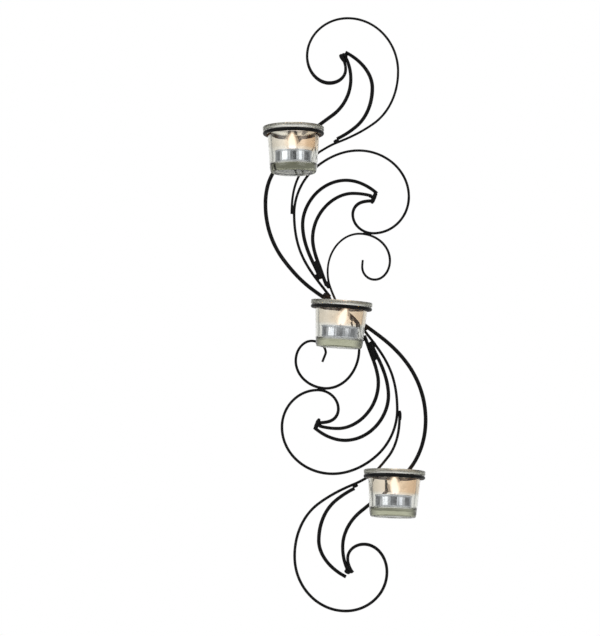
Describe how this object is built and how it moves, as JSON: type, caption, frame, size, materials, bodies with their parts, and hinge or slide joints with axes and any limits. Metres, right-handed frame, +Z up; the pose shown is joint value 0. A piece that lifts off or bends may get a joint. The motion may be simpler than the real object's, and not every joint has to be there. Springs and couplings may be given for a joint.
{
  "type": "wall candle sconce",
  "caption": "Wall-hung scroll of bent black steel rods holding clear glass tealight cups in wire rings, with a lit tealight in each cup.",
  "frame": {"origin": "on the back face of the upper hanger tab, where it lies against the wall, below its keyhole", "axes": "+Z up, +X to the right seen from the front, -Y out from the wall towards the viewer"},
  "size_m": [0.1696, 0.0692, 0.6188],
  "materials": {
    "black_enamel": "satin black enamel over bent steel rod",
    "clear_glass": "clear pressed glass, slightly green in the thick base",
    "aluminium_foil": "bright drawn foil",
    "wax": null,
    "tinplate": "dull tinplate",
    "charred_cotton": "charred braided cotton"
  },
  "bodies": {
    "scroll_frame": {"spine_rod": "black_enamel", "upper_outer_scroll": "black_enamel", "lower_outer_scroll": "black_enamel", "upper_inner_scroll": "black_enamel", "lower_inner_scroll": "black_enamel", "upper_small_scroll": "black_enamel", "lower_small_scroll": "black_enamel", "upper_comma_rod": "black_enamel", "lower_comma_rod": "black_enamel", "upper_outer_leaf": "black_enamel", "lower_outer_leaf": "black_enamel", "upper_inner_leaf": "black_enamel", "lower_inner_leaf": "black_enamel", "top_ring": "black_enamel", "middle_ring": "black_enamel", "bottom_ring": "black_enamel", "upper_hanger_tab": "black_enamel", "lower_hanger_tab": "black_enamel"},
    "top_glass_cup": {"top_glass": "clear_glass"},
    "top_tealight": {"top_tealight_cup": "aluminium_foil", "top_wax": "wax", "top_wick_sustainer": "tinplate", "top_wick": "charred_cotton"},
    "middle_glass_cup": {"middle_glass": "clear_glass"},
    "middle_tealight": {"middle_tealight_cup": "aluminium_foil", "middle_wax": "wax", "middle_wick_sustainer": "tinplate", "middle_wick": "charred_cotton"},
    "bottom_glass_cup": {"bottom_glass": "clear_glass"},
    "bottom_tealight": {"bottom_tealight_cup": "aluminium_foil", "bottom_wax": "wax", "bottom_wick_sustainer": "tinplate", "bottom_wick": "charred_cotton"}
  },
  "joints": [
    {"name": "top_glass_lift", "type": "slide", "parent": "scroll_frame", "child": "top_glass_cup", "axis": [0, 0.0262, 0.9997], "range_m": [0, 0.06]},
    {"name": "top_tealight_lift", "type": "slide", "parent": "top_glass_cup", "child": "top_tealight", "axis": [0, 0.0262, 0.9997], "range_m": [0, 0.05]},
    {"name": "middle_glass_lift", "type": "slide", "parent": "scroll_frame", "child": "middle_glass_cup", "axis": [0.0662, -0.0523, 0.9964], "range_m": [0, 0.06]},
    {"name": "middle_tealight_lift", "type": "slide", "parent": "middle_glass_cup", "child": "middle_tealight", "axis": [0.0662, -0.0523, 0.9964], "range_m": [0, 0.05]},
    {"name": "bottom_glass_lift", "type": "slide", "parent": "scroll_frame", "child": "bottom_glass_cup", "axis": [0.0349, 0, 0.9994], "range_m": [0, 0.06]},
    {"name": "bottom_tealight_lift", "type": "slide", "parent": "bottom_glass_cup", "child": "bottom_tealight", "axis": [0.0349, 0, 0.9994], "range_m": [0, 0.05]}
  ]
}
